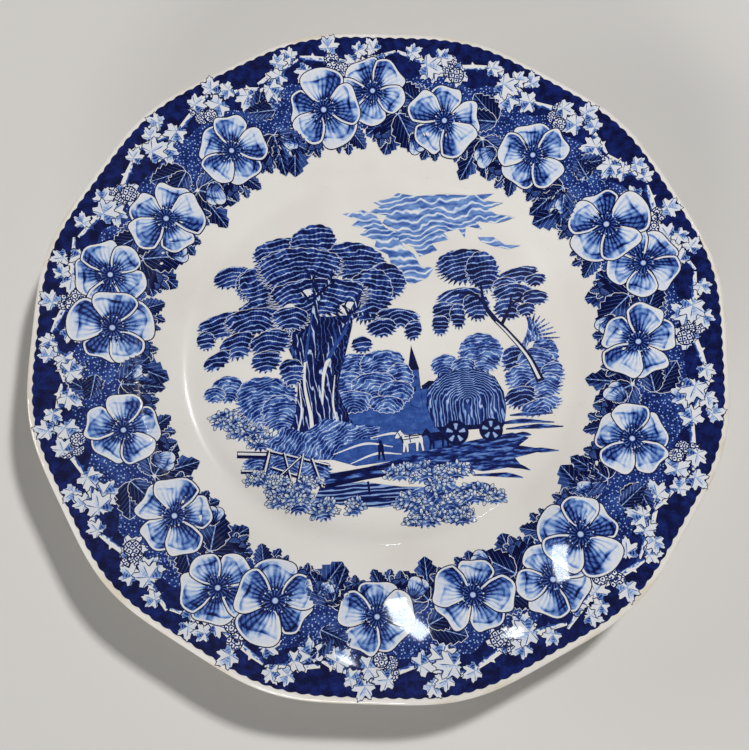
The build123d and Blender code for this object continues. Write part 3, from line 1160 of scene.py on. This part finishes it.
# The bank under the great tree, the lane and the ground strokes to the right.
centre.add("bush", np.array([
    (-44, -29), (-36, -24), (-30, -27), (-22, -22), (-12, -25), (-2, -27), (-4, -34), (-20, -38),
    (-40, -36),
]) + (0, 60), (0, -60), seed=0.4)
centre.add("haze", [(-18, -34), (-10, -31), (4, -33), (6, -40), (-12, -41), (-20, -38)])
add_stems("pale", (
    [(-20, -36), (-8, -33), (2, -35)], [(-14, -40), (-4, -37), (5, -38)],
    [(-6, -31), (2, -30), (8, -31)],
), (0.3, 0.9, 0.3))
centre.add("lane", [
    (-24, -43), (-10, -42), (0, -40.5), (12, -38), (24, -36), (46, -33.5), (52, -36), (48, -38.5),
    (58, -41), (46, -43), (48, -46), (34, -47), (20, -43), (6, -45), (-8, -46), (-24, -49),
])
add_stems("lane", (
    [(40, -30), (50, -29.5), (62, -31)], [(44, -32), (56, -32), (65, -33)],
    [(46, -27), (54, -27), (62, -27.5)], [(42, -35), (50, -34.5), (53, -35)],
    [(46, -40), (56, -41), (62, -42)], [(30, -48), (42, -49), (48, -50.5)],
    [(34, -45), (46, -46), (51, -48)],
), (0.5, 1.9, 0.4))

# The hay wagon, with two horses and a man walking ahead.
centre.add("hay", np.array([
    (18, -29), (16.0, -21), (16.8, -14.5), (21, -10.5), (26, -8.6), (31, -8), (37, -8.8),
    (42, -12), (44.6, -18), (44.8, -24), (43.5, -30),
]) - (31, -20), (31, -20), line=0.25)
centre.add("line", [(18.5, -29), (44, -29.5), (43, -31.2), (20, -31)])
for x, radius in ((25.5, 4.7), (38.5, 4.4)):
    centre.add("wheel", disc(1.0, 24), (x, -31.8), 0.0, radius)
HORSE = [
    (0.0, 5.4), (0.5, 6.6), (1.7, 7.9), (2.2, 8.3), (2.5, 7.6), (3.5, 6.4), (5.5, 6.0), (8.2, 6.3),
    (9.5, 5.8), (10.0, 4.4), (9.9, 2.4), (10.1, 0.0), (9.4, 0.0), (9.1, 2.6), (8.4, 3.4),
    (7.9, 0.0), (7.3, 0.0), (7.3, 3.2), (4.6, 3.0), (4.5, 0.0), (3.9, 0.0), (3.7, 2.6), (3.0, 0.0),
    (2.4, 0.0), (2.8, 3.0), (2.6, 4.6), (1.9, 5.6), (0.8, 5.2),
]
centre.add("line", HORSE, (12.8, -37.2), 0.0, 0.98)
centre.add("pale", HORSE, (3.0, -37.4), 0.0, 1.02, line=0.3)
add_stems("line", (
    [(8.3, -31), (8.6, -34)], [(5.4, -31.2), (6, -34)], [(5.6, -32.8), (12, -32.2)],
    [(4.4, -30), (5.6, -33)],
), (0.35, 0.35))
add_stem("line", [(6.5, -31.6), (12, -31.4), (20, -31.0)], (0.4, 0.5, 0.4))
MAN = [
    (-0.7, 0.0), (-0.1, 2.9), (0.6, 0.0), (1.1, 0.0), (0.9, 3.2), (1.0, 5.0), (0.5, 5.4),
    (0.6, 6.4), (0.0, 6.8), (-0.5, 6.3), (-0.4, 5.4), (-0.9, 5.0), (-0.9, 3.0), (-1.2, 0.0),
]
centre.add("line", MAN, (-2.5, -39.8), 0.0, 1.15)

# The brook under its plank, the broken fence, and the shrubs along the bottom.
centre.add("water", [
    (-26, -48), (-10, -47), (4, -50), (14, -51), (12, -56), (-4, -57), (-18, -55), (-28, -52),
])
add_stems("line", (
    ([(-24, -47.5), (-8, -45.5), (6, -45)], (1.6, 1.4, 0.8)),
    ([(-22, -44), (-8, -42.5), (8, -41)], (1.8, 1.6, 0.6)), ([(-8, -52), (-8.2, -47)], (0.8, 0.8)),
    ([(-22, -53), (-10, -53.5), (2, -54)], (0.8, 1, 0.6)),
))
add_masses("bush", ((-38, -39, 12, 5), (-48, -38, 6, 4), (-27, -42, 7, 4)), edge=0.0, ragged=0.35)
for points, width in (
    ([(-55, -33), (-44, -34.2)], 2.6), ([(-54, -39.4), (-46, -40.2)], 1.6),
    ([(-46, -42), (-43, -32.5)], 2), ([(-43, -33), (-22, -40)], 1.3),
    ([(-43, -39), (-24, -47)], 1.3), ([(-38, -34), (-36, -45)], 1.2),
    ([(-34, -46), (-31, -35)], 1.3), ([(-28, -37), (-25, -48)], 1.4),
    ([(-42, -44), (-32, -36)], 1.1),
):
    add_stem("line", points, (width, width), line=0.0)
    add_stem("pale", [np.array(p) + (0.3, 0.35) for p in points], (width * 0.35, width * 0.35))
for x, y, across, up in (
    (-48, -43, 5, 3), (-41, -46, 5, 4), (-41, -51, 5, 4), (-34, -52, 6, 6), (-25, -56, 5.5, 5),
    (-14, -56, 4, 4), (-30, -46, 5, 3), (4, -45, 7, 3.4), (13, -46, 7, 4.4), (24, -46, 7, 3.6),
    (18, -51, 6, 3.4), (9, -56, 9, 5), (20, -57, 9, 6), (30, -55, 8, 4.4), (37, -57, 5, 2.8),
    (12, -62, 8, 4.4), (24, -63, 6, 3.4), (6, -63, 3.4, 2),
):
    add_shrub(x, y, across, up)
print_sheet("centre_print_cobalt", "centre_print", centre, centre_inks)

# ---------------------------------------------------------------------------
# The table, the light and the camera: a plain pale floor and soft lamps.
# ---------------------------------------------------------------------------
FLOOR_SIZE = 6.0
FLOOR_BELOW = 0.0002
KEY_AT = (1.29, 1.09, 2.60)
DAYLIGHT = (0.85, 0.94, 1.0)
ROOM_COLOUR = (0.80, 0.81, 0.83, 1.0)
ROOM_STRENGTH = 0.10
CAMERA_LENS = 57.6

bpy.context.scene.view_settings.view_transform = "Standard"
bpy.ops.mesh.primitive_plane_add(size=FLOOR_SIZE, location=(0.0, 0.0, -FLOOR_BELOW))
floor = bpy.context.object
floor.name = "pale_floor"
floor_finish = Finish("pale_floor")
floor_finish.surface(Base_Color=(0.62, 0.60, 0.57, 1.0), Roughness=0.7)
floor.data.materials.append(floor_finish.material)


def add_lamp(name, at, size, watts, mirrored=True, colour=(1.0, 1.0, 1.0)):
    """A lamp aimed at the plate; one that isn't mirrored leaves no glint in the glaze."""
    data = bpy.data.lights.new(name, "AREA")
    data.shape = "RECTANGLE"
    data.size, data.size_y = size
    data.energy = watts
    data.color = colour
    lamp = bpy.data.objects.new(name, data)
    lamp.location = at
    lamp.rotation_euler = (-Vector(at)).to_track_quat("-Z", "Y").to_euler()
    lamp.visible_glossy = mirrored
    bpy.context.collection.objects.link(lamp)


add_lamp("soft_key", KEY_AT, (0.36, 0.36), 34.0, False)
add_lamp("soft_front", (-0.8, -2.4, 0.75), (1.3, 0.5), 40.0)
add_lamp("soft_left", (-2.5, 0.2, 0.55), (0.8, 0.5), 22.0)
add_lamp("soft_glint", KEY_AT, (0.32, 0.32), 43.0)
add_lamp("window_left", (0.33, 4.39, 8.95), (0.11, 0.28), 2.3, colour=DAYLIGHT)
add_lamp("window_right", (-0.41, 4.12, 9.08), (0.28, 0.11), 2.1, colour=DAYLIGHT)
world = bpy.data.worlds.new("soft_room")
world.use_nodes = True
room_light = world.node_tree.nodes["Background"].inputs
room_light[0].default_value = ROOM_COLOUR
room_light[1].default_value = ROOM_STRENGTH
bpy.context.scene.world = world

CAMERA_AT = Vector((-12.8, -125.9, 437.8)) * MM
CAMERA_AIM = Vector((-2.7, -11.5, 23.0)) * MM
camera_data = bpy.data.cameras.new("camera")
camera_data.lens = CAMERA_LENS
camera_data.clip_start = 0.01
camera = bpy.data.objects.new("camera", camera_data)
camera.location = CAMERA_AT
camera.rotation_euler = (CAMERA_AIM - CAMERA_AT).to_track_quat("-Z", "Y").to_euler()
bpy.context.collection.objects.link(camera)
bpy.context.scene.camera = camera
